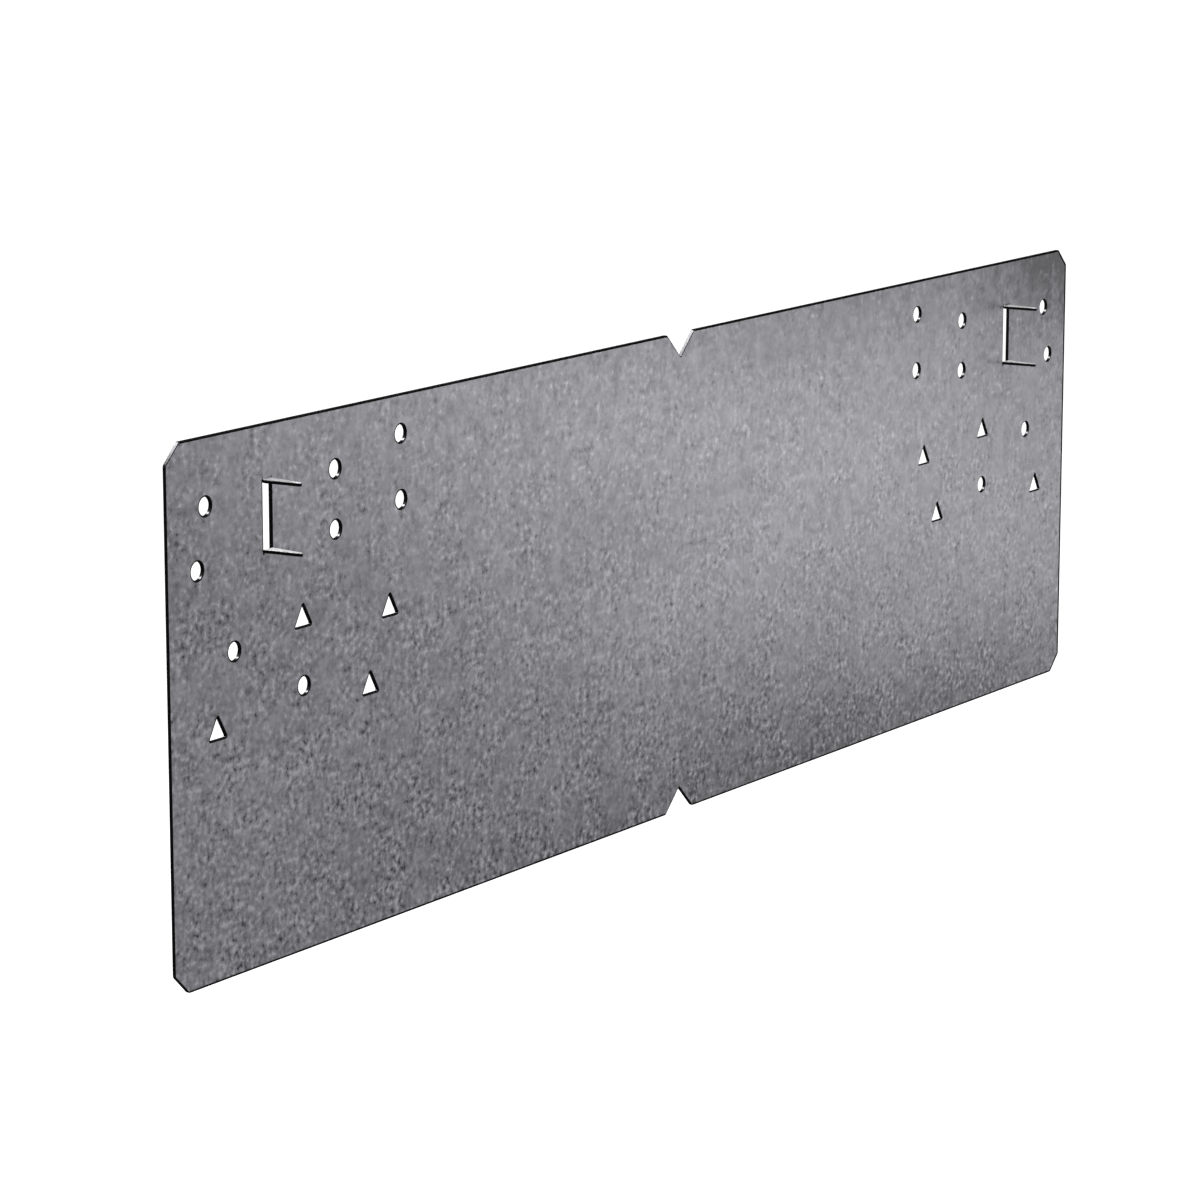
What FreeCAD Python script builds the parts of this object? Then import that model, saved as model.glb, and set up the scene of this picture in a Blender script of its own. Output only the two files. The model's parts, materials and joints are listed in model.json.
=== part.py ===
"""Nail stop plate: one punched and lanced sheet of galvanised steel that shields pipes between two studs.

The plate stands as it is fixed. X runs along its length, Z is up, and the stud face lies on Y = 0.
The prongs point to -Y, into the studs. The origin is the middle of the stud face.
"""

import FreeCAD, Part
import math
import os

from FreeCAD import Vector

INCH = 25.4

# Sheet, in millimetres
LENGTH = 16.3125 * INCH
HEIGHT = 5.0 * INCH
THICKNESS = 0.91
CORNER_CHAMFER = 0.1875 * INCH

# V notches that mark the middle of both long edges
NOTCH_WIDTH = 0.5 * INCH
NOTCH_DEPTH = 0.25 * INCH

# Round nail holes, each at a distance from the near end and from the top edge
NAIL_HOLE_DIAMETER = 0.171875 * INCH
NAIL_HOLE_PLACES = (
    (0.53125 * INCH, 0.625 * INCH),
    (0.40625 * INCH, 1.1875 * INCH),
    (0.90625 * INCH, 2.0 * INCH),
    (1.90625 * INCH, 2.5 * INCH),
    (2.40625 * INCH, 0.5625 * INCH),
    (2.40625 * INCH, 1.125 * INCH),
    (3.40625 * INCH, 0.375 * INCH),
    (3.40625 * INCH, 1.0 * INCH),
)

# Triangular spare holes, point up, placed by their centres in the same way
TRIANGLE_SIDE = 0.25 * INCH
TRIANGLE_CORNER_RADIUS = 0.3
TRIANGLE_PLACES = (
    (0.65625 * INCH, 2.6875 * INCH),
    (1.90625 * INCH, 1.875 * INCH),
    (2.90625 * INCH, 2.6875 * INCH),
    (3.21875 * INCH, 2.0 * INCH),
)

# Lanced slot with a prong folded out at its top and its bottom
SLOT_FROM_END = 1.40625 * INCH
SLOT_FROM_TOP = 0.84 * INCH
SLOT_WIDTH = 0.125 * INCH
PRONG_SPACING = 15.3
PRONG_LENGTH = 0.390625 * INCH
PRONG_TIP_WIDTH = 0.8
BEND_RADIUS = 0.4
SHEAR_GAP = 0.1

# Cutting tools pass this far out of the sheet on both faces
TOOL_OVERRUN = 1.0

# The two ends of the plate, as signs along X, and the two prongs of a slot, as signs along Z
ENDS = (-1, 1)
SIDES = (-1, 1)


def from_end(end, distance):
    """X of a place at a distance from one end of the plate."""
    return end * (LENGTH / 2 - distance)


def from_top(distance):
    """Z of a place at a distance below the top edge."""
    return HEIGHT / 2 - distance


def filled(points):
    """Flat face with straight edges through the points."""
    return Part.Face(Part.makePolygon(points + points[:1]))


def plate_outline():
    """Corner points of the sheet, with cut corners and a notch in each long edge, as (x, z)."""
    half_length = LENGTH / 2
    half_height = HEIGHT / 2
    half_notch = NOTCH_WIDTH / 2
    top_right = [
        (0, half_height - NOTCH_DEPTH),
        (half_notch, half_height),
        (half_length - CORNER_CHAMFER, half_height),
        (half_length, half_height - CORNER_CHAMFER),
    ]
    right = top_right + [(x, -z) for x, z in reversed(top_right)]
    left = [(-x, z) for x, z in reversed(right[1:-1])]
    return right + left


def blank():
    """Flat sheet with its outline cut."""
    corners = [Vector(x, 0, z) for x, z in plate_outline()]
    return filled(corners).extrude(Vector(0, THICKNESS, 0))


def punch(face):
    """Cutting tool through the sheet, from a face that lies on the stud face."""
    tool = face.copy()
    tool.translate(Vector(0, -TOOL_OVERRUN, 0))
    return tool.extrude(Vector(0, THICKNESS + 2 * TOOL_OVERRUN, 0))


def round_hole(x, z):
    """Punch for one nail hole."""
    rim = Part.Circle(Vector(x, 0, z), Vector(0, 1, 0), NAIL_HOLE_DIAMETER / 2)
    return punch(Part.Face(Part.Wire(rim.toShape())))


def triangle_hole(x, z):
    """Punch for one triangular hole about its centre, with small round corners."""
    corner_distance = TRIANGLE_SIDE / math.sqrt(3)
    angles = [math.radians(degrees) for degrees in (90, 210, 330)]
    corners = [
        Vector(x + corner_distance * math.cos(angle), 0, z + corner_distance * math.sin(angle))
        for angle in angles
    ]
    tool = punch(filled(corners))
    along_punch = [edge for edge in tool.Edges if abs(edge.tangentAt(edge.FirstParameter).y) > 0.5]
    return tool.makeFillet(TRIANGLE_CORNER_RADIUS, along_punch)


def slot_half_height():
    """Distance from the slot's middle to the line where a fold starts."""
    return PRONG_SPACING / 2 + THICKNESS + BEND_RADIUS


def slot(x, z):
    """Punch for one slot, from fold line to fold line."""
    half_width = SLOT_WIDTH / 2
    half_height = slot_half_height()
    corners = [
        Vector(x - half_width, 0, z - half_height),
        Vector(x + half_width, 0, z - half_height),
        Vector(x + half_width, 0, z + half_height),
        Vector(x - half_width, 0, z + half_height),
    ]
    return punch(filled(corners))


def fold_arc(radius, side):
    """Quarter turn of a fold in the YZ plane, from the plate's plane to the direction of the prong."""
    centre = Vector(0, -BEND_RADIUS, side * slot_half_height())
    turns = [math.radians(degrees) for degrees in (0, 45, 90)]
    points = [centre + Vector(0, radius * math.cos(turn), -side * radius * math.sin(turn)) for turn in turns]
    return Part.Arc(*points)


def prong_section(side):
    """Side view of a prong in the YZ plane, about the slot's middle: a quarter turn and a straight shank.

    The inner arc leaves the stud face and the outer arc, one thickness further out, the outer face.
    """
    inner = fold_arc(BEND_RADIUS, side)
    outer = fold_arc(BEND_RADIUS + THICKNESS, side)
    inner_tip = Vector(0, -PRONG_LENGTH, inner.EndPoint.z)
    outer_tip = Vector(0, -PRONG_LENGTH, outer.EndPoint.z)
    edges = [
        inner.toShape(),
        Part.makeLine(inner.EndPoint, inner_tip),
        Part.makeLine(inner_tip, outer_tip),
        Part.makeLine(outer_tip, outer.EndPoint),
        outer.toShape(),
        Part.makeLine(outer.StartPoint, inner.StartPoint),
    ]
    return Part.Face(Part.Wire(edges))


def prong_plan():
    """Top view of a prong as a tall prism: full width through the fold, then tapered to a blunt point."""
    half_width = SLOT_WIDTH / 2 - SHEAR_GAP
    half_tip = PRONG_TIP_WIDTH / 2
    reach = slot_half_height() + TOOL_OVERRUN
    right_edge = [
        Vector(half_width, THICKNESS, -reach),
        Vector(half_width, -BEND_RADIUS, -reach),
        Vector(half_tip, -PRONG_LENGTH, -reach),
    ]
    left_edge = [Vector(-point.x, point.y, point.z) for point in reversed(right_edge)]
    return filled(right_edge + left_edge).extrude(Vector(0, 0, 2 * reach))


def prong(x, z, side):
    """One prong, folded out of the slot at its top (side 1) or its bottom (side -1)."""
    strip = prong_section(side)
    strip.translate(Vector(-SLOT_WIDTH / 2, 0, 0))
    shape = strip.extrude(Vector(SLOT_WIDTH, 0, 0)).common(prong_plan())
    shape.translate(Vector(x, 0, z))
    return shape


def nail_stop_plate():
    """The whole plate: outline, holes, slots and prongs, the same at both ends."""
    holes = []
    prongs = []
    for end in ENDS:
        holes += [round_hole(from_end(end, x), from_top(z)) for x, z in NAIL_HOLE_PLACES]
        holes += [triangle_hole(from_end(end, x), from_top(z)) for x, z in TRIANGLE_PLACES]
        slot_x = from_end(end, SLOT_FROM_END)
        slot_z = from_top(SLOT_FROM_TOP)
        holes.append(slot(slot_x, slot_z))
        prongs += [prong(slot_x, slot_z, side) for side in SIDES]
    return blank().cut(holes).fuse(prongs).removeSplitter()


os.makedirs("parts", exist_ok=True)
plate = nail_stop_plate()
solid = plate.Solids[0]
print("solids", len(plate.Solids), "valid", plate.isValid(), "volume mm3", round(plate.Volume, 1))
solid.exportStep("parts/nail_stop_plate.step")
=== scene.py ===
"""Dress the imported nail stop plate: one punched, lanced and folded sheet of galvanised steel.

Metres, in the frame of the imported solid: X runs along the plate, Z is up, the stud face lies on Y = 0 and
the prongs point to -Y. The sheet is laid out flat, cut, given its thickness with rounded edges, and folded.
"""

import json
import logging
import math
from dataclasses import dataclass, replace
from enum import Enum

import bpy
import numpy as np
from mathutils import Matrix, Quaternion, Vector
from mathutils.geometry import delaunay_2d_cdt


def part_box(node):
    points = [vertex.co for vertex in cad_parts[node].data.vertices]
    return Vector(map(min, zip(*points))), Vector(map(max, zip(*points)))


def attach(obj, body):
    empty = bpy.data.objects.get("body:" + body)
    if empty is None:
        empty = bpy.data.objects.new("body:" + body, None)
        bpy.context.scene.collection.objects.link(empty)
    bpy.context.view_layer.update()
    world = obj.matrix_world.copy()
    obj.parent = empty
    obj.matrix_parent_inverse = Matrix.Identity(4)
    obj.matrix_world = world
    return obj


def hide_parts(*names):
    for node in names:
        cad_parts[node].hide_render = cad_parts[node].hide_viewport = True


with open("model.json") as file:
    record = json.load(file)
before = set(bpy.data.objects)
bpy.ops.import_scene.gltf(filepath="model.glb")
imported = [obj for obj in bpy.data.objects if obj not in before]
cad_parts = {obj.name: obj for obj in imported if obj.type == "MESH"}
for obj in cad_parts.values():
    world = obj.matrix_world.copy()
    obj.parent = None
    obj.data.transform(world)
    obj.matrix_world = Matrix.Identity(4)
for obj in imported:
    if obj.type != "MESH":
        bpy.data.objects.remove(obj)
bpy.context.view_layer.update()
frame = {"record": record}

MM = 0.001
INCH = 25.4 * MM
NODE = "nail_stop_plate"
BODY = "root"

# Numbers of the colour sockets on a mix node, which has sockets of the same name for other kinds of data
MIX_LOW, MIX_HIGH, MIX_RESULT = 6, 7, 2

# Middle of the patterns, which run from 0 to 1
HALF_GREY = 0.5

# Points of the flat sheet that are closer than this are one point
MERGE_DISTANCE = 1e-9

# Directions of a triangle's corners from its centre, clockwise from its point, in degrees
TRIANGLE_CORNERS = (90.0, -30.0, 210.0)

Array = np.ndarray
Socket = bpy.types.NodeSocket
Colour = tuple[float, float, float]
log = logging.getLogger("nail_stop_plate")


class FoldedEnd(Enum):
    """The end of a slot that a prong is folded from, as a sign along Z."""

    UPPER = 1
    LOWER = -1


class Surface(Enum):
    """The finishes of the sheet, in the order of the mesh's material slots."""

    ZINC = 0
    SHEARED = 1
    # Pale zinc as a painted highlight on the prongs' faces and rounds that turn up
    PAINTED_HIGHLIGHT = 2
    # Dull near-black: the rims, and as painted shade the slot walls and the walls that don't turn up
    TORN_OR_SHADED = 3


class Triangulation(Enum):
    """What the constrained triangulation gives back: only the triangles inside the outer loop."""

    INSIDE = 1


@dataclass(frozen=True)
class CutLine:
    """One closed cut through the flat sheet, with the metal on its left.

    Attributes:
        flat: Points in order, as complex numbers x + i z.
        side: For each point, 0 on the plate, or the sign of the folded end on a prong.
        rim: For each point, the width of the dark rim that the cut leaves on both faces.
    """

    flat: Array
    side: Array
    rim: Array

    @classmethod
    def circle(cls, centre: complex, radius: float, steps: int) -> "CutLine":
        """Round hole, run clockwise: centre + radius e^(-i angle).

        Args:
            centre: Middle of the hole, x + i z.
            radius: Radius of the hole.
            steps: Number of points.

        Returns:
            The cut line.
        """
        angle = np.linspace(0.0, 2.0 * math.pi, steps, endpoint=False)
        return cls(centre + radius * np.exp(-1j * angle), np.zeros(steps, int), np.zeros(steps))

    @classmethod
    def polygon(
        cls, corners: Array, radius: Array | float, steps: int, side: Array | None = None
    ) -> "CutLine":
        """Straight cuts with an arc at each corner, tangent to both of its cuts.

        The arc starts radius tan(turn / 2) before the corner and turns its start point about the arc's
        centre, which lies one radius to the inside of the turn.

        Args:
            corners: Corner points in order, x + i z.
            radius: Radius of every corner, or one radius for each.
            steps: Points on each arc.
            side: For each corner, the side of the points on its arc; all on the plate if left out.

        Returns:
            The cut line.
        """
        ahead = np.roll(corners, -1) - corners
        ahead = ahead / np.abs(ahead)
        behind = np.roll(ahead, 1)
        turn = np.angle(ahead / behind)
        start = corners - radius * np.tan(np.abs(turn) / 2.0) * behind
        centre = start + 1j * np.sign(turn) * radius * behind
        share = np.linspace(0.0, 1.0, steps)
        arcs = centre[:, None] + (start - centre)[:, None] * np.exp(1j * turn[:, None] * share)
        sides = np.zeros(len(corners), int) if side is None else side
        return cls(arcs.ravel(), np.repeat(sides, steps), np.zeros(arcs.size))

    def with_rim(self, width: Array | float) -> "CutLine":
        """The same cut with one width of rim, or one for each point."""
        return replace(self, rim=np.broadcast_to(width, self.flat.shape))

    def divided(self, longest: float) -> "CutLine":
        """The same cut with every straight run split into equal spans.

        A new point between the plate and a prong belongs to the prong.

        Args:
            longest: Length that no span exceeds.

        Returns:
            The finer cut line.
        """
        run = np.roll(self.flat, -1) - self.flat
        spans = np.maximum(np.ceil(np.abs(run) / longest), 1).astype(int)
        place = np.arange(spans.sum()) - np.repeat(np.cumsum(spans) - spans, spans)
        flat = np.repeat(self.flat, spans) + np.repeat(run / spans, spans) * place
        start = np.repeat(self.side, spans)
        end = np.repeat(np.roll(self.side, -1), spans)
        side = np.where((place > 0) & (start == 0), end, start)
        return CutLine(flat, side, np.repeat(self.rim, spans))

    def outward(self) -> Array:
        """Mitre away from the metal: (n1 + n2) / (1 + n1 . n2) for the normals of a point's two spans.

        Returns:
            The mitre at each point, x + i z, one unit clear of both spans.
        """
        ahead = np.roll(self.flat, -1) - self.flat
        normal = -1j * ahead / np.abs(ahead)
        before = np.roll(normal, 1)
        return (before + normal) / (1.0 + (before * normal.conj()).real)

    def plate_loop(self) -> Array:
        """Numbers of the points that bound the plate's own face."""
        return np.flatnonzero(self.side == 0)

    def prong_loops(self) -> dict[FoldedEnd, Array]:
        """Numbers of the points that bound the face of each prong.

        A prong's loop also takes the plate's last point before it and first point after it, so that the
        plate and the prong share the line between those two points.

        Returns:
            A loop for each folded end that the cut has.
        """
        own = {end: np.flatnonzero(self.side == end.value) for end in FoldedEnd}
        return {end: np.r_[loop[0] - 1, loop, loop[-1] + 1] for end, loop in own.items() if len(loop)}


@dataclass(frozen=True)
class EdgeSection:
    """Section across a cut edge: a flat rim and a round on both faces, with a straight wall between them.

    Attributes:
        thickness: Thickness of the sheet.
        steps: Points on each round.
    """

    thickness: float
    steps: int

    def rows(self, rim: Array, stud_round: Array, outer_round: Array) -> tuple[Array, Array, Array]:
        """Points of the section from the stud face to the outer face.

        A round is a quarter circle: inset R (1 - sin a), depth R (1 - cos a), normal sin a outward and
        -cos a in depth. The round on the outer face runs the other way. The first point and the last are
        the far sides of the rims.

        Args:
            rim: Width of the rims, at each point along the cut.
            stud_round: R of the round on the stud face.
            outer_round: R of the round on the outer face.

        Returns:
            Inset from the cut line and depth from the stud face, a row for each point of the section and a
            column for each point along the cut, and normals as outward + i depth, one for each row.
        """
        angle = np.r_[0.0, np.linspace(0.0, math.pi / 2.0, self.steps)][:, None]
        inset, depth = 1.0 - np.sin(angle), 1.0 - np.cos(angle)
        normal = np.sin(angle[:, 0]) - 1j * np.cos(angle[:, 0])
        flat = np.zeros((self.steps, len(rim)))
        rounds = np.concatenate([inset * stud_round, inset[::-1] * outer_round])
        return (
            rounds + np.concatenate([[rim], flat, flat, [rim]]),
            np.concatenate([depth * stud_round, self.thickness - depth[::-1] * outer_round]),
            np.concatenate([normal, normal[::-1].conj()]),
        )


@dataclass(frozen=True)
class EdgeStrip:
    """The surface that the edge section sweeps along one cut line.

    Attributes:
        points: Vertices, row by row from the stud face to the outer face.
        normals: Normal of each vertex.
        flat: Place of each vertex on the flat sheet, x + i z.
        quads: Faces, as rows of point numbers.
        finishes: Finish of each face, as the number of its material slot.
        step: From a point on the stud face's rim to the number of the one behind it on the outer face.
    """

    points: Array
    normals: Array
    flat: Array
    quads: Array
    finishes: Array
    step: int


@dataclass(frozen=True)
class PaintedLightOval:
    """A soft oval of painted shade or painted highlight, where the zinc's tone is lower or higher.

    Attributes:
        centre: Middle of the oval, x and z.
        reach: Half of its width and of its height.
        shift: Change of tone at its middle, which fades to none at its rim.
    """

    centre: tuple[float, float]
    reach: tuple[float, float]
    shift: float

    def tone(self, board: "NodeBoard", place: Socket) -> Socket:
        """Share of the oval at a place, from 1 in its middle to 0 on its rim.

        Args:
            board: The material to wire it in.
            place: Places on the sheet.

        Returns:
            The share.
        """
        across, up = self.reach
        oval = board.add("ShaderNodeMapping", {}, {
            "Vector": place,
            "Location": (-self.centre[0] / across, 0.0, -self.centre[1] / up),
            "Scale": (1.0 / across, 0.0, 1.0 / up),
        })
        length = board.add("ShaderNodeVectorMath", {"operation": "LENGTH"}, {0: oval.outputs["Vector"]})
        return board.add("ShaderNodeMapRange", {"interpolation_type": "SMOOTHSTEP"}, {
            "Value": length.outputs["Value"],
            "To Min": 1.0,
            "To Max": 0.0,
        }).outputs["Result"]


@dataclass(frozen=True)
class ZincSpangle:
    """Hot-dip zinc: a mottled grey skin with sparse dark and light flecks under a thin clear film.

    Attributes:
        dark: Tone of the darkest zinc, linear red, green and blue.
        light: Tone of the lightest zinc.
        glint: Tint of what the skin mirrors.
        fleck: Size of the flecks, and their share in the tone.
        lift: How much more the light flecks stand out than the dark ones.
        sharpness: How much more the strongest flecks stand out than the faint ones.
        crowding: Size of the areas with more or fewer flecks, and the least and the greatest share there.
        drift: How the share of the flecks changes along X, Y and Z, per metre.
        crystal: Size of the flat crystals, and their share.
        patch: Size of the larger patches, and their share.
        cloud: Size of the soft tone changes over the sheet, and their share.
        painted_light_ovals: Ovals of painted shade and painted highlight over the sheet.
        outer_face: Depth of the outer face, and the share of flecks and of the painted shade and highlight
            there.
        roughness: Roughness of the smoothest and the roughest crystals.
        metallic: Share of bare metal; the rest is dull skin.
        film: Weight and roughness of the clear film.
        relief: Height of the flecks.
    """

    dark: Colour = (0.0, 0.0, 0.0)
    light: Colour = (0.505, 0.494, 0.545)
    glint: Colour = (0.93, 0.91, 1.0)
    fleck: tuple[float, float] = (1.6 * MM, 0.94)
    lift: float = 2.5
    sharpness: float = 30.0
    crowding: tuple[float, float, float] = (12.0 * MM, -0.5, 2.5)
    drift: tuple[float, float, float] = (-1.2, 0.0, -6.5)
    crystal: tuple[float, float] = (1.1 * MM, 0.14)
    patch: tuple[float, float] = (4.5 * MM, 0.74)
    cloud: tuple[float, float] = (30.0 * MM, 0.24)
    # Painted shade and highlight: darker at the bottom, the top and the far upper corner, lighter at the left
    # and in the middle
    painted_light_ovals: tuple[PaintedLightOval, ...] = (
        PaintedLightOval((120.0 * MM, -66.0 * MM), (300.0 * MM, 38.0 * MM), -0.30),
        PaintedLightOval((-215.0 * MM, -25.0 * MM), (110.0 * MM, 60.0 * MM), 0.13),
        PaintedLightOval((60.0 * MM, 72.0 * MM), (250.0 * MM, 34.0 * MM), -0.15),
        PaintedLightOval((212.0 * MM, 66.0 * MM), (80.0 * MM, 45.0 * MM), -0.50),
        PaintedLightOval((0.0, -8.0 * MM), (120.0 * MM, 27.0 * MM), 0.12),
    )
    outer_face: tuple[float, float] = (0.9 * MM, 0.45)
    roughness: tuple[float, float] = (0.30, 0.38)
    metallic: float = 0.15
    film: tuple[float, float] = (0.20, 0.28)
    relief: float = 0.012 * MM

    def material(self) -> bpy.types.Material:
        """Tone is half grey plus a weighted sum of patterns; roughness follows the crystals.

        A fleck's share is d + lift d^2 + sharpness d^3 for its departure d from half grey, times the local
        crowding, which drifts over the sheet and is lower on the outer face.

        Returns:
            The material.
        """
        board = NodeBoard("zinc_spangle")
        place = board.add("ShaderNodeTexCoord").outputs["Object"]
        grain = board.grain(place, self.fleck[0])
        crystals = board.cells(place, self.crystal[0])
        tone = board.weighted([
            (crystals, self.crystal[1]),
            (board.grain(place, self.patch[0]), self.patch[1]),
            (board.grain(place, self.cloud[0]), self.cloud[1]),
        ])
        departure = board.math("SUBTRACT", grain, HALF_GREY)
        slope = board.math("MULTIPLY_ADD", departure, self.sharpness, self.lift)
        gain = board.math("MULTIPLY_ADD", departure, slope, 1.0)
        size, least, greatest = self.crowding
        crowd = board.grain(place, size, detail=1.0)
        share = board.ranged(crowd, least * self.fleck[1], greatest * self.fleck[1])
        drift = board.along(place, self.drift)
        share = board.math("MULTIPLY_ADD", share, drift, share)
        depth, outer_share = self.outer_face
        kept = board.ranged(board.along(place, (0.0, 1.0 / depth, 0.0)), 1.0, outer_share)
        share = board.math("MULTIPLY", share, kept)
        tone = board.math("MULTIPLY_ADD", board.math("MULTIPLY", departure, gain), share, tone)
        # Ovals of painted shade and painted highlight shift the tone, less on the outer face
        for painted_oval in self.painted_light_ovals:
            spread = board.math("MULTIPLY", painted_oval.tone(board, place), kept)
            tone = board.math("MULTIPLY_ADD", spread, painted_oval.shift, tone)
        bump = board.add("ShaderNodeBump", {}, {"Height": grain, "Distance": self.relief})
        board.surface({
            "Base Color": board.mixed(tone, self.dark, self.light),
            "Metallic": self.metallic,
            "Roughness": board.ranged(crystals, *self.roughness),
            "Specular Tint": (*self.glint, 1.0),
            "Coat Weight": self.film[0],
            "Coat Roughness": self.film[1],
            "Normal": bump.outputs["Normal"],
        })
        return board.material


@dataclass(frozen=True)
class ShearedSteel:
    """Bare steel of a cut edge: dark, drawn smooth by the punch and streaked through the thickness.

    Attributes:
        dark: Tone of the torn streaks.
        light: Tone of the smooth streaks.
        streak: Width of a streak along the edge.
        stretch: Length of a streak through the sheet, in widths.
        roughness: Roughness of the smooth and the torn streaks.
        grazing: Share of the usual grazing reflection that the rough steel keeps.
    """

    dark: Colour = (0.025, 0.025, 0.027)
    light: Colour = (0.075, 0.075, 0.077)
    streak: float = 0.25 * MM
    stretch: float = 8.0
    roughness: tuple[float, float] = (0.20, 0.34)
    grazing: Colour = (0.15, 0.15, 0.15)

    def material(self) -> bpy.types.Material:
        """Streaks are noise that is drawn out along Y, the direction of the cut.

        Returns:
            The material.
        """
        board = NodeBoard("sheared_steel")
        place = board.add("ShaderNodeTexCoord").outputs["Object"]
        drawn = board.add("ShaderNodeMapping", {}, {"Vector": place, "Scale": (1.0, 1.0 / self.stretch, 1.0)})
        streaks = board.grain(drawn.outputs["Vector"], self.streak)
        board.surface({
            "Base Color": board.mixed(streaks, self.dark, self.light),
            "Metallic": 1.0,
            "Roughness": board.ranged(streaks, *self.roughness),
            "Specular Tint": (*self.grazing, 1.0),
        })
        return board.material


@dataclass(frozen=True)
class PaintedHighlightZinc:
    """Pale zinc on the rounds and faces of the prongs that turn up: a painted highlight.

    Attributes:
        dark: Tone of the dimmer parts of the painted highlight.
        light: Tone of the brightest painted highlight.
        grain: Size of the changes along the edge.
        roughness: Roughness of the brightest and the dimmest parts.
        metallic: Share of bare metal.
    """

    dark: Colour = (0.50, 0.50, 0.51)
    light: Colour = (0.85, 0.85, 0.86)
    grain: float = 0.6 * MM
    roughness: tuple[float, float] = (0.30, 0.45)
    metallic: float = 0.25

    def material(self) -> bpy.types.Material:
        """Tone and roughness follow one grain.

        Returns:
            The material.
        """
        board = NodeBoard("painted_highlight_zinc")
        place = board.add("ShaderNodeTexCoord").outputs["Object"]
        highlight_grain = board.grain(place, self.grain)
        board.surface({
            "Base Color": board.mixed(highlight_grain, self.dark, self.light),
            "Metallic": self.metallic,
            "Roughness": board.ranged(highlight_grain, *reversed(self.roughness)),
        })
        return board.material


@dataclass(frozen=True)
class TornOrShadedEdge:
    """Dull near-black cut metal: the cracked line beside a cut, and walls kept near black as painted shade.

    Attributes:
        dark: Tone of the deepest cracks.
        light: Tone between the cracks.
        grain: Size of the changes along the cut.
        roughness: Roughness of the torn metal.
    """

    dark: Colour = (0.003, 0.003, 0.0035)
    light: Colour = (0.014, 0.014, 0.015)
    grain: float = 0.5 * MM
    roughness: float = 0.8

    def material(self) -> bpy.types.Material:
        """Tone follows one grain, and nothing is mirrored.

        Returns:
            The material.
        """
        board = NodeBoard("torn_or_shaded_edge")
        place = board.add("ShaderNodeTexCoord").outputs["Object"]
        board.surface({
            "Base Color": board.mixed(board.grain(place, self.grain), self.dark, self.light),
            "Roughness": self.roughness,
            "Specular IOR Level": 0.0,
        })
        return board.material


class NodeBoard:
    """A new material and short ways to wire its nodes."""

    def __init__(self, name: str) -> None:
        """Start a material with an empty node tree.

        Args:
            name: Name of the material.
        """
        self.material = bpy.data.materials.new(name)
        self.material.use_nodes = True
        self.tree = self.material.node_tree
        self.tree.nodes.clear()

    def add(self, kind: str, settings: dict | None = None, sockets: dict | None = None) -> bpy.types.Node:
        """Add a node.

        Args:
            kind: Blender's name for the node type.
            settings: Properties to set on the node.
            sockets: Inputs by name or number, each a value to set or an output to link.

        Returns:
            The node.
        """
        node = self.tree.nodes.new(kind)
        for name, value in (settings or {}).items():
            setattr(node, name, value)
        for name, value in (sockets or {}).items():
            if isinstance(value, Socket):
                self.tree.links.new(value, node.inputs[name])
            else:
                node.inputs[name].default_value = value
        return node

    def cells(self, place: Socket, size: float) -> Socket:
        """Flat random tone, 0 to 1, for each cell of a Voronoi pattern of one cell size."""
        cells = self.add("ShaderNodeTexVoronoi", {}, {"Vector": place, "Scale": 1.0 / size})
        return self.add("ShaderNodeSeparateColor", {}, {"Color": cells.outputs["Color"]}).outputs["Red"]

    def grain(self, place: Socket, size: float, detail: float = 2.0) -> Socket:
        """Smooth noise about half grey, of one grain size and as many finer ones as detail says."""
        noise = self.add("ShaderNodeTexNoise", {}, {"Vector": place, "Scale": 1.0 / size, "Detail": detail})
        return noise.outputs["Fac"]

    def math(self, operation: str, *values: Socket | float) -> Socket:
        """Result of a sum on up to three values, each a number or an output."""
        return self.add("ShaderNodeMath", {"operation": operation}, dict(enumerate(values))).outputs["Value"]

    def along(self, place: Socket, direction: tuple[float, float, float]) -> Socket:
        """Dot product of a place and a direction."""
        product = self.add("ShaderNodeVectorMath", {"operation": "DOT_PRODUCT"}, {0: place, 1: direction})
        return product.outputs["Value"]

    def weighted(self, parts: list[tuple[Socket, float]]) -> Socket:
        """Half grey plus each pattern's departure from half grey, times its weight.

        Args:
            parts: Pattern outputs and their weights.

        Returns:
            The sum.
        """
        total = HALF_GREY - HALF_GREY * sum(weight for _, weight in parts)
        for pattern, weight in parts:
            total = self.math("MULTIPLY_ADD", pattern, weight, total)
        return total

    def ranged(self, value: Socket, low: float, high: float) -> Socket:
        """A pattern from 0 to 1, stretched to run from low to high."""
        stretched = self.add("ShaderNodeMapRange", {}, {"Value": value, "To Min": low, "To Max": high})
        return stretched.outputs["Result"]

    def mixed(self, share: Socket, low: Colour, high: Colour) -> Socket:
        """Colour between low and high, by a pattern from 0 to 1."""
        sockets = {"Factor": share, MIX_LOW: (*low, 1.0), MIX_HIGH: (*high, 1.0)}
        return self.add("ShaderNodeMix", {"data_type": "RGBA"}, sockets).outputs[MIX_RESULT]

    def surface(self, sockets: dict) -> None:
        """Close the material with a principled shader that has these inputs."""
        shader = self.add("ShaderNodeBsdfPrincipled", {}, sockets)
        self.add("ShaderNodeOutputMaterial", {}, {"Surface": shader.outputs["BSDF"]})


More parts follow.
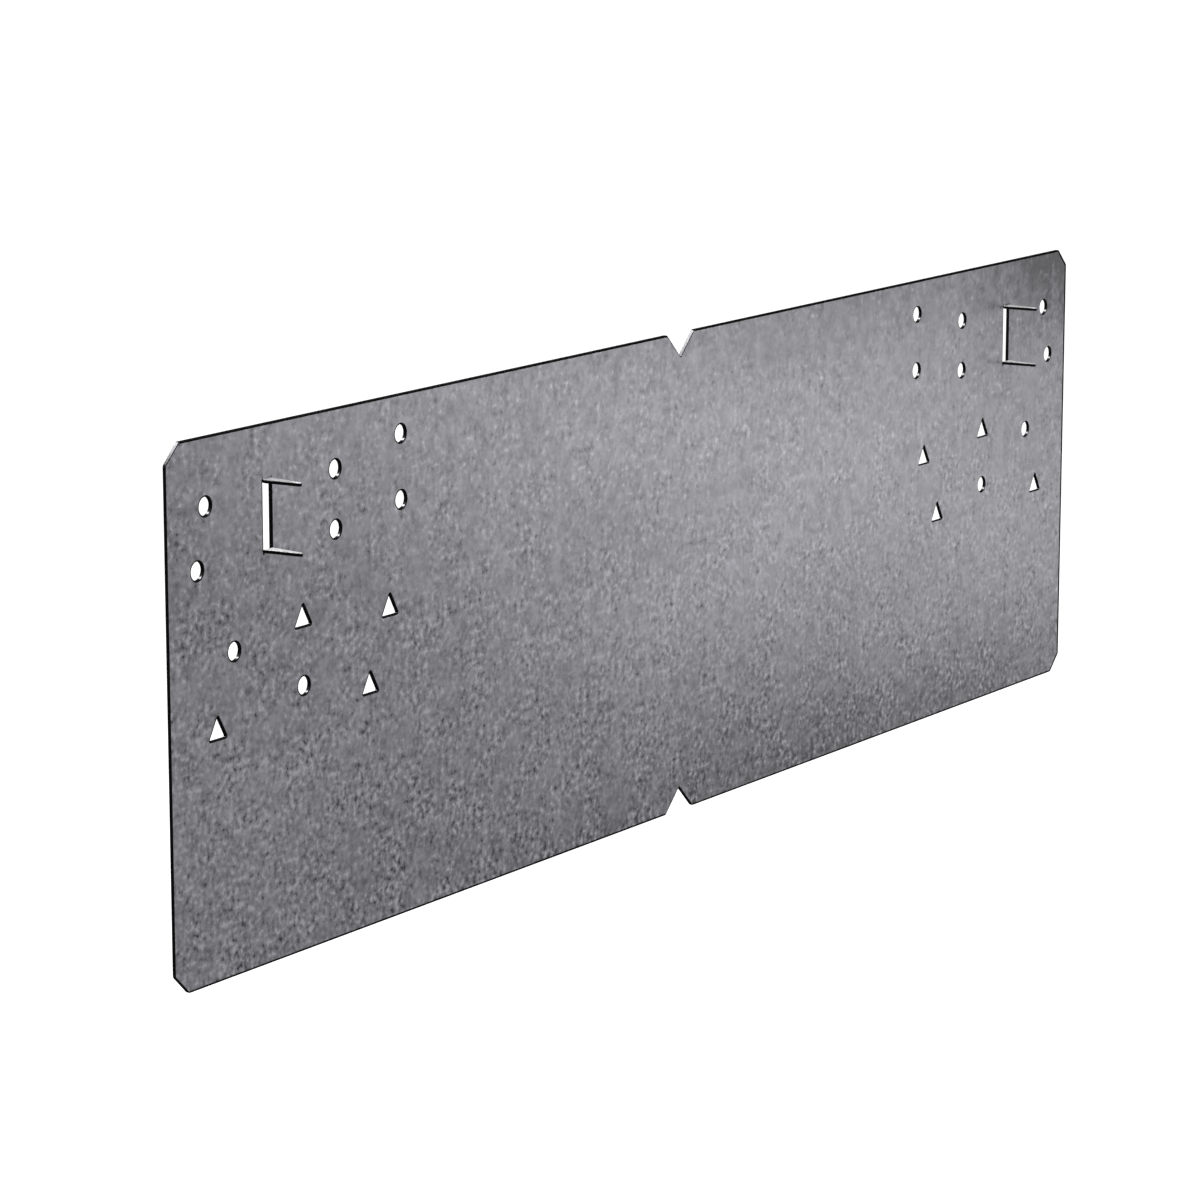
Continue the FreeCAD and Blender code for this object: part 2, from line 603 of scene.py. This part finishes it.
@dataclass(frozen=True)
class NailStopPlate:
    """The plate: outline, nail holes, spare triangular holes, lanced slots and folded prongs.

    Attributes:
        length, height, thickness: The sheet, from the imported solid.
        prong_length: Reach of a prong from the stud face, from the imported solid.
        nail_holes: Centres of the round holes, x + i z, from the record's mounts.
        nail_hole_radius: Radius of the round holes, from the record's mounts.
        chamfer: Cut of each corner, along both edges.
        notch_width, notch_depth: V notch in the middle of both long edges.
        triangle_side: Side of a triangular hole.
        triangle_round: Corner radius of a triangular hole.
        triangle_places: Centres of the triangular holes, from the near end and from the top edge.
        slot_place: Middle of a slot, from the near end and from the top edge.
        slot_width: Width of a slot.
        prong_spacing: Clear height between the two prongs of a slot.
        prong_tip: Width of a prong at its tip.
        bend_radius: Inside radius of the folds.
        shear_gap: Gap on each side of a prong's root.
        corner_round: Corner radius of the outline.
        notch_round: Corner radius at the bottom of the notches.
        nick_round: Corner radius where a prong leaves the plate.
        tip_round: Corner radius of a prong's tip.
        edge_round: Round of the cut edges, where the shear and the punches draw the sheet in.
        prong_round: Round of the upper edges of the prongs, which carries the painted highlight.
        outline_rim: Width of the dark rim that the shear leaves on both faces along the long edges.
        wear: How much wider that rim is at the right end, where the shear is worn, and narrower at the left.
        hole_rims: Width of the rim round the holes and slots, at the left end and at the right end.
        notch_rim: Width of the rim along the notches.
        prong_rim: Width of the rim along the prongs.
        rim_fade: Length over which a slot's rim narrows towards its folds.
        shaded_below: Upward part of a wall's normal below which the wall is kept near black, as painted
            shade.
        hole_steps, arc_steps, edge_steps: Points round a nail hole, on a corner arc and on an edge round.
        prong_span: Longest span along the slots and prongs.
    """

    length: float
    height: float
    thickness: float
    prong_length: float
    nail_holes: Array
    nail_hole_radius: float
    chamfer: float = 0.1875 * INCH
    notch_width: float = 0.5 * INCH
    notch_depth: float = 0.25 * INCH
    triangle_side: float = 0.25 * INCH
    triangle_round: float = 0.3 * MM
    triangle_places: tuple[tuple[float, float], ...] = (
        (0.65625 * INCH, 2.6875 * INCH),
        (1.90625 * INCH, 1.875 * INCH),
        (2.90625 * INCH, 2.6875 * INCH),
        (3.21875 * INCH, 2.0 * INCH),
    )
    slot_place: tuple[float, float] = (1.40625 * INCH, 0.84 * INCH)
    slot_width: float = 0.125 * INCH
    prong_spacing: float = 15.3 * MM
    prong_tip: float = 0.8 * MM
    bend_radius: float = 0.4 * MM
    shear_gap: float = 0.1 * MM
    corner_round: float = 1.0 * MM
    notch_round: float = 0.2 * MM
    nick_round: float = 0.04 * MM
    tip_round: float = 0.34 * MM
    edge_round: float = 0.1 * MM
    prong_round: float = 0.18 * MM
    outline_rim: float = 0.42 * MM
    wear: float = 0.38 * MM
    hole_rims: tuple[float, float] = (0.28 * MM, 0.14 * MM)
    notch_rim: float = 0.16 * MM
    prong_rim: float = 0.02 * MM
    rim_fade: float = 0.8 * MM
    shaded_below: float = 0.3
    hole_steps: int = 64
    arc_steps: int = 5
    edge_steps: int = 4
    prong_span: float = 0.15 * MM

    @classmethod
    def from_frame(cls, record: dict) -> "NailStopPlate":
        """Take the sheet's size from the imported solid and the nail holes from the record's bolt patterns.

        Args:
            record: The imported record.

        Returns:
            The plate.
        """
        low, high = (np.array(corner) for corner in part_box(NODE))
        patterns = [mount for mount in record["mounts"] if mount["kind"] == "bolt_pattern"]
        holes = np.concatenate([cls.pattern_holes(mount) for mount in patterns])
        radius = patterns[0]["dims"]["hole_r_mm"] * MM
        return cls(high[0] - low[0], high[2] - low[2], high[1], -low[1], holes, radius)

    @staticmethod
    def pattern_holes(mount: dict) -> Array:
        """Hole centres of one bolt pattern: two in a row along X, or four at the corners of a rectangle.

        Args:
            mount: The mount's entry in the record.

        Returns:
            Centres, x + i z.
        """
        sizes = mount["dims"]
        across = sizes["spacing_x_mm"] * MM / 2.0
        up = sizes.get("spacing_y_mm", 0.0) * MM / 2.0
        rows = np.array([-up, up]) if up else np.array([0.0])
        offsets = np.array([-across, across])[:, None] + 1j * rows
        return offsets.ravel() + mount["pos_m"][0] + 1j * mount["pos_m"][2]

    def both_ends(self, from_end: float, from_top: float) -> Array:
        """A place at both ends of the plate, x + i z, from its distances to the near end and the top."""
        return np.array([-1.0, 1.0]) * (self.length / 2.0 - from_end) + 1j * (self.height / 2.0 - from_top)

    def slot_half_height(self) -> float:
        """Distance from a slot's middle to the line where a fold starts."""
        return self.prong_spacing / 2.0 + self.thickness + self.bend_radius

    def outline(self) -> CutLine:
        """Outer cut, anticlockwise: a quarter of its corners, mirrored about both axes.

        Returns:
            The cut line, with its rim.
        """
        right, top = self.length / 2.0, self.height / 2.0
        quarter = np.array([
            right + 1j * (top - self.chamfer),
            right - self.chamfer + 1j * top,
            self.notch_width / 2.0 + 1j * top,
            1j * (top - self.notch_depth),
        ])
        upper = np.r_[quarter, -quarter[-2::-1].conj()]
        corners = np.r_[upper, -upper]
        radius = np.where(corners.real == 0.0, self.notch_round, self.corner_round)
        cut = CutLine.polygon(corners, radius, self.arc_steps)
        away = cut.outward()
        sheared = self.outline_rim + self.wear * away.real / np.abs(away)
        in_notch = np.abs(cut.flat.real) < self.notch_width / 2.0
        return cut.with_rim(np.where(in_notch, self.notch_rim, sheared))

    def hole_rim(self, centre: complex) -> float:
        """Width of the rim round a hole, by the end of the plate that it is at."""
        left, right = self.hole_rims
        return left if centre.real < 0.0 else right

    def nail_hole(self, centre: complex) -> CutLine:
        """Round hole for a nail."""
        cut = CutLine.circle(centre, self.nail_hole_radius, self.hole_steps)
        return cut.with_rim(self.hole_rim(centre))

    def triangle(self, centre: complex) -> CutLine:
        """Triangular hole, point up, run clockwise from its point.

        Args:
            centre: Middle of the hole, x + i z.

        Returns:
            The cut line, with its rim.
        """
        corners = centre + self.triangle_side / math.sqrt(3.0) * np.exp(1j * np.radians(TRIANGLE_CORNERS))
        cut = CutLine.polygon(corners, self.triangle_round, self.arc_steps)
        return cut.with_rim(self.hole_rim(centre))

    def slot(self, centre: complex) -> CutLine:
        """Slot with its two prongs still flat, run clockwise from its lower left corner.

        Half of the corners are up one wall, along the root of the upper prong and round its taper; the
        lower half is the upper one turned by half a turn.

        Args:
            centre: Middle of the slot, x + i z.

        Returns:
            The cut line, with its prongs marked and its rim.
        """
        wall, root = self.slot_width / 2.0, self.slot_width / 2.0 - self.shear_gap
        fold = self.slot_half_height()
        taper = fold - self.bend_radius * math.pi / 2.0
        tip = taper - (self.prong_length - self.bend_radius)
        half = np.array([
            -wall + 1j * fold,
            -root + 1j * fold,
            -root + 1j * taper,
            -self.prong_tip / 2.0 + 1j * tip,
            self.prong_tip / 2.0 + 1j * tip,
            root + 1j * taper,
            root + 1j * fold,
            wall + 1j * fold,
        ])
        upper = np.array([0, 0, 1, 1, 1, 1, 0, 0]) * FoldedEnd.UPPER.value
        side = np.r_[upper, -upper]
        radius = np.where(side == 0, self.nick_round, self.tip_round)
        corners = centre + np.r_[half, -half]
        cut = CutLine.polygon(corners, radius, self.arc_steps, side).divided(self.prong_span)
        clear = np.clip((fold - np.abs((cut.flat - centre).imag)) / self.rim_fade, 0.0, 1.0)
        growth = (self.hole_rim(centre) - self.prong_rim) * np.where(cut.side == 0, clear, 0.0)
        return cut.with_rim(self.prong_rim + growth)

    def cut_lines(self) -> list[CutLine]:
        """Every cut of the flat sheet.

        Returns:
            The cut lines, the outline first.
        """
        cuts = [self.outline()]
        cuts += [self.nail_hole(centre) for centre in self.nail_holes]
        for place in self.triangle_places:
            cuts += [self.triangle(centre) for centre in self.both_ends(*place)]
        cuts += [self.slot(centre) for centre in self.both_ends(*self.slot_place)]
        return cuts

    def past_fold(self, flat: Array, side: Array) -> tuple[Array, Array]:
        """How far points of the flat sheet lie past their fold lines.

        Args:
            flat: Places on the flat sheet, x + i z.
            side: 0 on the plate, or the sign of the folded end.

        Returns:
            Heights of the fold lines, and distances past them, 0 on the plate.
        """
        fold_z = self.height / 2.0 - self.slot_place[1] + side * self.slot_half_height()
        return fold_z, np.where(side == 0, 0.0, np.maximum(side * (fold_z - flat.imag), 0.0))

    def edge_rounds(self, cut: CutLine) -> list[Array]:
        """Rounds along a cut, which grow over a fold from the plate's to the prong's.

        A prong's larger round is on the face that turns up: the stud face of an upper prong, the outer face
        of a lower one.

        Args:
            cut: The cut line.

        Returns:
            Round on the stud face and round on the outer face.
        """
        share = np.minimum(self.past_fold(cut.flat, cut.side)[1] / self.bend_radius, 1.0)
        growth = (self.prong_round - self.edge_round) * share
        return [self.edge_round + growth * (cut.side == end.value) for end in FoldedEnd]

    def folded(self, flat: Array, depth: Array, side: Array, normal: Array) -> tuple[Array, Array]:
        """Bend points of the flat sheet, and their normals, into place.

        A point that lies u past its fold line turns about the fold's centre by u / R, up to a quarter
        turn, on the radius R + depth, and what is left of u runs straight out to -Y.

        Args:
            flat: Places on the flat sheet, x + i z.
            depth: Depths from the stud face.
            side: 0 on the plate, or the sign of the folded end.
            normal: Normals on the flat sheet, as rows of x, depth and z.

        Returns:
            Points and normals, as rows of x, y and z.
        """
        fold_z, past = self.past_fold(flat, side)
        turn = np.minimum(past / self.bend_radius, math.pi / 2.0)
        straight = past - turn * self.bend_radius
        reach = self.bend_radius + depth
        y = reach * np.cos(turn) - self.bend_radius - straight
        z = np.where(past > 0.0, fold_z - side * reach * np.sin(turn), flat.imag)
        onward = -side * normal[:, 2]
        bent_y = np.cos(turn) * normal[:, 1] - np.sin(turn) * onward
        bent_z = -side * (np.cos(turn) * onward + np.sin(turn) * normal[:, 1])
        bent = np.stack([normal[:, 0], bent_y, np.where(side == 0, normal[:, 2], bent_z)], axis=1)
        return np.stack([flat.real, y, z], axis=1), bent

    def edge_finishes(self, cut: CutLine, row: Array, along: Array, onward: Array) -> Array:
        """Finish of each quad that the edge section sweeps along a cut.

        The rims are torn. As painted shade, all cuts of the slots and the walls that don't turn up are kept
        near black in the same finish, and the other walls are sheared. On a prong the round that turns up
        takes a pale painted highlight: the stud face's on an upper prong, the outer face's on a lower one.

        Args:
            cut: The cut line.
            row: For each quad, its place across the section, from the stud face.
            along: Number of the point on the cut where it starts.
            onward: Number of the point where it ends.

        Returns:
            Numbers of the material slots.
        """
        away = cut.outward()
        shaded_walls = away.imag < self.shaded_below * np.abs(away)
        on_rim = (row == 0) | (row == 2 * self.edge_steps)
        # As painted shade, the slot walls and the walls that don't turn up are kept near black and unmirrored
        torn = on_rim | cut.side.any() | shaded_walls[along]
        finish = np.where(torn, Surface.TORN_OR_SHADED.value, Surface.SHEARED.value)
        # The round that turns up on a prong takes the painted highlight
        faces_up = np.sign(self.edge_steps - row)
        highlighted = (faces_up != 0) & (cut.side[along] == faces_up) & (cut.side[onward] == faces_up)
        return np.where(highlighted, Surface.PAINTED_HIGHLIGHT.value, finish)

    def edge_strip(self, cut: CutLine) -> EdgeStrip:
        """Carry the edge section along one cut line, and fold what lies on the prongs.

        Args:
            cut: The cut line.

        Returns:
            The swept surface.
        """
        away = cut.outward()
        section = EdgeSection(self.thickness, self.edge_steps)
        inset, depth, section_normal = section.rows(cut.rim, *self.edge_rounds(cut))
        rows, size = inset.shape
        flat = (cut.flat - inset * away).ravel()
        outward = np.outer(section_normal.real, away / np.abs(away)).ravel()
        flat_normal = np.stack([outward.real, np.repeat(section_normal.imag, size), outward.imag], axis=1)
        points, normals = self.folded(flat, depth.ravel(), np.tile(cut.side, rows), flat_normal)
        row, along = np.meshgrid(np.arange(rows - 1), np.arange(size), indexing="ij")
        onward = (along + 1) % size
        quads = np.stack([
            row * size + along,
            (row + 1) * size + along,
            (row + 1) * size + onward,
            row * size + onward,
        ], axis=-1)
        finishes = self.edge_finishes(cut, row, along, onward)
        return EdgeStrip(points, normals, flat, quads.reshape(-1, 4), finishes.ravel(), (rows - 1) * size)

    def mesh(self) -> bpy.types.Mesh:
        """Join the edge strips of all cut lines and fill the two faces of the sheet between their rims.

        Returns:
            The mesh, with its normals and finishes set.
        """
        cuts = self.cut_lines()
        strips = [self.edge_strip(cut) for cut in cuts]
        points = np.concatenate([strip.points for strip in strips])
        normals = np.concatenate([strip.normals for strip in strips])
        flat = np.concatenate([strip.flat for strip in strips])
        faces, plate_loops, prong_loops = [], [], []
        count = 0
        for cut, strip in zip(cuts, strips):
            faces += (count + strip.quads).tolist()
            plate_loops.append((count + cut.plate_loop(), strip.step))
            prong_loops += [(end, (count + loop, strip.step)) for end, loop in cut.prong_loops().items()]
            count += len(strip.points)
        finishes = [strip.finishes for strip in strips]
        fills = [(None, self.filled(flat, plate_loops))]
        fills += [(end, self.filled(flat, [loop])) for end, loop in prong_loops]
        shank = points[:, 1] < -self.bend_radius
        for folded_end, sheet_faces in fills:
            # The stud face turns up on an upper prong, and the outer face on a lower one; the shank's face
            # that turns up takes the painted highlight
            for end, triangles in zip(FoldedEnd, sheet_faces):
                highlighted = shank[triangles].all(axis=1) & (end is folded_end)
                finishes.append(np.where(highlighted, Surface.PAINTED_HIGHLIGHT.value, Surface.ZINC.value))
                faces += triangles.tolist()
        return sheet_mesh(points, normals, faces, np.concatenate(finishes))

    @staticmethod
    def filled(flat: Array, loops: list[tuple[Array, int]]) -> list[Array]:
        """Fill the stud face and the outer face between an outer loop of points and the holes in it.

        Every loop has the metal on its left, so a triangle with all its corners on one loop is off the metal,
        in a hole or a notch, if its corners turn clockwise in the order of the loop. Such ones are left out.

        Args:
            flat: Places of all points on the flat sheet, x + i z.
            loops: Point numbers round each loop on the stud face, the outer loop first, with the step to
                the outer face's points.

        Returns:
            Triangles of the stud face and of the outer face, as rows of point numbers.
        """
        inner = np.concatenate([loop for loop, _ in loops])
        outer = np.concatenate([loop + step for loop, step in loops])
        starts = np.cumsum([0] + [len(loop) for loop, _ in loops])
        edges = [
            np.stack([np.arange(first, last), np.roll(np.arange(first, last), -1)], axis=1)
            for first, last in zip(starts, starts[1:])
        ]
        corners = np.stack([flat[inner].real, flat[inner].imag], axis=1)
        found = delaunay_2d_cdt(
            corners.tolist(), np.concatenate(edges).tolist(), [], Triangulation.INSIDE.value, MERGE_DISTANCE
        )
        triangles = np.sort(np.array(found[2]), axis=1)
        a, b, c = (flat[inner][triangles[:, k]] for k in range(3))
        clockwise = ((b - a).conj() * (c - a)).imag < 0.0
        owner = np.repeat(np.arange(len(loops)), np.diff(starts))[triangles]
        off_metal = clockwise & (owner == owner[:, :1]).all(axis=1)
        triangles[clockwise] = triangles[clockwise][:, ::-1]
        triangles = triangles[~off_metal]
        return [inner[triangles], outer[triangles][:, ::-1]]

    def build(self) -> bpy.types.Object:
        """Make the plate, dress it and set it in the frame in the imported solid's place.

        Returns:
            The plate's object.
        """
        mesh = self.mesh()
        for dress in (ZincSpangle(), ShearedSteel(), PaintedHighlightZinc(), TornOrShadedEdge()):
            mesh.materials.append(dress.material())
        plate = bpy.data.objects.new("plate", mesh)
        bpy.context.scene.collection.objects.link(plate)
        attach(plate, BODY)
        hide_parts(NODE)
        return plate


def sheet_mesh(points: Array, normals: Array, faces: list[list[int]], finishes: Array) -> bpy.types.Mesh:
    """Put the sheet's arrays into a mesh with smooth shading and its own normals.

    Args:
        points: Vertices.
        normals: Normal of each vertex.
        faces: Point numbers round each face.
        finishes: Finish of each face, as the number of its material slot.

    Returns:
        The mesh.
    """
    mesh = bpy.data.meshes.new("plate")
    mesh.from_pydata(points.tolist(), [], faces)
    mesh.polygons.foreach_set("material_index", finishes.astype(np.int32))
    mesh.polygons.foreach_set("use_smooth", np.ones(len(mesh.polygons), bool))
    mesh.normals_split_custom_set_from_vertices(normals.tolist())
    mesh.validate()
    return mesh


@dataclass(frozen=True)
class Softbox:
    """One rectangular area light that faces the plate.

    Attributes:
        name: Name of the light.
        azimuth: Direction from the plate, from straight in front of it towards +X, in degrees.
        elevation: Direction from the plate, up from level, in degrees.
        distance: Distance from the plate.
        size: Width and height.
        power: Power in watts.
        tilt: Turn in its own plane, in degrees.
        shadow: Whether pieces in front of the light shade what is behind them.
    """

    name: str
    azimuth: float
    elevation: float
    distance: float
    size: tuple[float, float]
    power: float
    tilt: float = 0.0
    shadow: bool = True

    def build(self) -> bpy.types.Object:
        """Hang the light in its direction and turn it to the plate's middle.

        Returns:
            The light's object.
        """
        lamp = bpy.data.lights.new(self.name, "AREA")
        lamp.shape = "RECTANGLE"
        lamp.size, lamp.size_y = self.size
        lamp.energy = self.power
        lamp.use_shadow = self.shadow
        light = bpy.data.objects.new(self.name, lamp)
        around, up = math.radians(self.azimuth), math.radians(self.elevation)
        level = math.cos(up)
        place = self.distance * Vector((math.sin(around) * level, -math.cos(around) * level, math.sin(up)))
        turn = (-place).to_track_quat("-Z", "Y") @ Quaternion((0.0, 0.0, 1.0), math.radians(self.tilt))
        light.matrix_world = Matrix.LocRotScale(place, turn, None)
        light.visible_camera = False
        bpy.context.scene.collection.objects.link(light)
        return light


def opaque_grey(tone: float) -> tuple[float, float, float, float]:
    """A plain grey as the value of a colour socket."""
    return tone, tone, tone, 1.0


@dataclass(frozen=True)
class Studio:
    """Pale floor, plain surroundings, soft lights and the camera of the photograph's view.

    Attributes:
        plate_bottom: Height of the plate's lower edge.
        floor_drop: Distance from there down to the floor; the plate is held clear of it, as on its studs.
        floor_half: Half of the floor's side.
        floor_tone: Colour of the floor under light.
        floor_glow: Light that the floor adds for direct and mirrored views, in front of the plate and
            behind it, where it takes the floor to white.
        glow_heading: Direction in which the floor brightens, in degrees from +X towards +Y.
        glow_span: Distances from the origin in that direction between which it brightens.
        room_tone: Grey of the surroundings.
        camera_place: Eye point.
        camera_aim: Point on the plate that the camera faces.
        sensor: Width of the camera's sensor, in millimetres.
        lens: Focal length, in millimetres.
        lights: The soft lights.
    """

    plate_bottom: float
    floor_drop: float = 0.25
    floor_half: float = 15.0
    floor_tone: float = 0.40
    floor_glow: tuple[float, float] = (0.10, 0.97)
    glow_heading: float = 56.0
    glow_span: tuple[float, float] = (0.05, 0.30)
    room_tone: float = 0.30
    camera_place: tuple[float, float, float] = (-0.9627, -0.6315, 0.2319)
    camera_aim: tuple[float, float, float] = (-0.0367, 0.00017, -0.00067)
    sensor: float = 36.0
    lens: float = 135.2
    lights: tuple[Softbox, ...] = (
        Softbox("key", -40.0, 80.0, 1.5, (0.8, 0.8), 20.0),
        Softbox("low_strip", 52.0, -6.0, 1.2, (0.46, 0.063), 0.98, -16.0, shadow=False),
        Softbox("overhead_back", 198.0, 55.0, 1.3, (0.50, 0.22), 16.0),
    )

    def build(self) -> None:
        """Make the floor, the surroundings, the lights and the camera."""
        self.floor()
        self.room()
        self.camera()
        for light in self.lights:
            light.build()

    def floor(self) -> bpy.types.Object:
        """Large square under the plate that shows as white and takes the plate's shadow.

        Returns:
            The floor's object.
        """
        side = np.array([-1.0, 1.0, 1.0, -1.0]) * self.floor_half
        level = np.full_like(side, self.plate_bottom - self.floor_drop)
        corners = np.stack([side, np.roll(side, 1), level], axis=1)
        mesh = bpy.data.meshes.new("floor")
        mesh.from_pydata(corners.tolist(), [], [(3, 2, 1, 0)])
        mesh.materials.append(self.floor_material())
        floor = bpy.data.objects.new("floor", mesh)
        bpy.context.scene.collection.objects.link(floor)
        return floor

    def floor_material(self) -> bpy.types.Material:
        """Matte pale grey plus a glow that only direct and mirrored views see.

        Returns:
            The material.
        """
        board = NodeBoard("floor")
        path = board.add("ShaderNodeLightPath")
        seen = path.outputs["Is Camera Ray"]
        for ray in ("Is Glossy Ray", "Is Transmission Ray"):
            seen = board.math("MAXIMUM", seen, path.outputs[ray])
        place = board.add("ShaderNodeTexCoord").outputs["Object"]
        heading = math.radians(self.glow_heading)
        onward = board.along(place, (math.cos(heading), math.sin(heading), 0.0))
        start, end = self.glow_span
        level = board.add("ShaderNodeMapRange", {"interpolation_type": "SMOOTHSTEP"}, {
            "Value": onward,
            "From Min": start,
            "From Max": end,
            "To Min": self.floor_glow[0],
            "To Max": self.floor_glow[1],
        }).outputs["Result"]
        strength = board.math("MULTIPLY", seen, level)
        matte = board.add("ShaderNodeBsdfDiffuse", {}, {"Color": opaque_grey(self.floor_tone)})
        glow = board.add("ShaderNodeEmission", {}, {"Strength": strength})
        both = board.add("ShaderNodeAddShader", {}, {0: matte.outputs[0], 1: glow.outputs[0]})
        board.add("ShaderNodeOutputMaterial", {}, {"Surface": both.outputs[0]})
        return board.material

    def room(self) -> None:
        """Surround the plate with one plain grey."""
        world = bpy.data.worlds.new("room")
        world.use_nodes = True
        backdrop = world.node_tree.nodes["Background"]
        backdrop.inputs["Color"].default_value = opaque_grey(self.room_tone)
        bpy.context.scene.world = world

    def camera(self) -> bpy.types.Object:
        """Set up the upright camera that looks at the plate from its left and a little above.

        Returns:
            The camera's object.
        """
        data = bpy.data.cameras.new("camera")
        data.sensor_width = self.sensor
        data.lens = self.lens
        camera = bpy.data.objects.new("camera", data)
        place, aim = Vector(self.camera_place), Vector(self.camera_aim)
        turn = (aim - place).to_track_quat("-Z", "Y").to_matrix().to_4x4()
        camera.matrix_world = Matrix.Translation(place) @ turn
        bpy.context.scene.collection.objects.link(camera)
        bpy.context.scene.camera = camera
        return camera


def main() -> None:
    """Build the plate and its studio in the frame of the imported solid."""
    logging.basicConfig(level=logging.INFO, format="%(name)s: %(message)s")
    bpy.context.scene.view_settings.view_transform = "Standard"
    plate = NailStopPlate.from_frame(frame["record"])
    piece = plate.build()
    log.info("%s: %d vertices, %d faces", piece.name, len(piece.data.vertices), len(piece.data.polygons))
    Studio(plate_bottom=-plate.height / 2.0).build()
    log.info("studio: floor, room, camera and lights")


if __name__ == "__main__":
    main()
